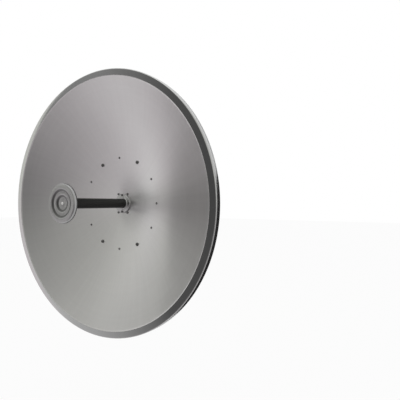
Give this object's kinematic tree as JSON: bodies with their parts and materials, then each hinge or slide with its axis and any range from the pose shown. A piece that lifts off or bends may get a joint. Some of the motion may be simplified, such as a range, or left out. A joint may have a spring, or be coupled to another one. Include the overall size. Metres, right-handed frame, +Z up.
{
  "type": "parabolic dish antenna",
  "caption": "Centre-fed parabolic dish antenna: spun reflector with a splash-plate feed, on a backing ring with an adjustable mast clamp.",
  "frame": {"origin": "on the mast's axis, at the height of the dish's axis", "axes": "+Z up along the mast, -Y the way the dish looks, +X to the right for someone facing the dish's front"},
  "size_m": [0.9, 0.5273, 0.9],
  "materials": {
    "spun_aluminium": "spun, brushed satin",
    "cast_aluminium": "cast, satin",
    "turned_aluminium": "turned, satin",
    "rivet_aluminium": "satin",
    "dark_aluminium": "smooth",
    "galvanised_steel": "hot-dip galvanised, dull",
    "zinc_fixings": "zinc plated",
    "nickel_plate": "nickel plated",
    "ptfe": "white, matt",
    "gold_contact": "gold plated"
  },
  "bodies": {
    "mast_mount": {"mast_bracket": "galvanised_steel", "notched_plates": "galvanised_steel", "clamp_plate": "galvanised_steel", "arm_yoke": "galvanised_steel", "pivot_bolt": "zinc_fixings", "pivot_nut": "zinc_fixings", "pivot_washers": "zinc_fixings", "u_bolt_upper": "zinc_fixings", "u_bolt_middle": "zinc_fixings", "u_bolt_lower": "zinc_fixings", "u_bolt_washers": "zinc_fixings", "u_bolt_nuts": "zinc_fixings"},
    "dish": {"reflector": "spun_aluminium", "backing_ring": "cast_aluminium", "ring_bolts": "zinc_fixings", "ring_nuts": "zinc_fixings", "ring_rivets": "rivet_aluminium", "yoke_plate_right": "galvanised_steel", "yoke_plate_left": "galvanised_steel", "rod_clevis": "galvanised_steel", "clevis_screws": "zinc_fixings", "clevis_bolt": "zinc_fixings", "clevis_nut": "zinc_fixings", "hub_flange": "cast_aluminium", "hub_screws": "zinc_fixings", "collar_screws": "zinc_fixings", "feed_collar": "cast_aluminium", "collar_bolt": "zinc_fixings", "collar_nut": "zinc_fixings"},
    "feed": {"feed_tube": "dark_aluminium", "splash_plate": "turned_aluminium", "splash_screw": "zinc_fixings", "feed_tail": "turned_aluminium", "coax_jack": "nickel_plate", "jack_insulator": "ptfe", "jack_contact": "gold_contact"},
    "rod": {"elevation_rod": "zinc_fixings"},
    "nuts": {"adjuster_washers": "zinc_fixings", "adjuster_nuts": "zinc_fixings"}
  },
  "joints": [
    {"name": "elevation", "type": "hinge", "parent": "mast_mount", "child": "dish", "pos_m": [0, -0.1088, -0.0615], "axis": [-1, 0, 0], "range_deg": [-10, 10]},
    {"name": "rod_swing", "type": "hinge", "parent": "dish", "child": "rod", "pos_m": [0.052, -0.12, 0.1575], "axis": [-1, 0, 0], "range_deg": [-10, 10]},
    {"name": "nut_travel", "type": "slide", "parent": "rod", "child": "nuts", "axis": [0, 0.999, -0.0436], "range_m": [-0.0384, 0.0384]},
    {"name": "polarisation", "type": "hinge", "parent": "dish", "child": "feed", "pos_m": [0, -0.2, 0], "axis": [0, -1, 0], "range_deg": [0, 90]}
  ],
  "couplings": [
    {"joint": "rod_swing", "follows": "elevation", "ratio": -1},
    {"joint": "nut_travel", "follows": "elevation", "m_per_rad": -0.2192}
  ]
}
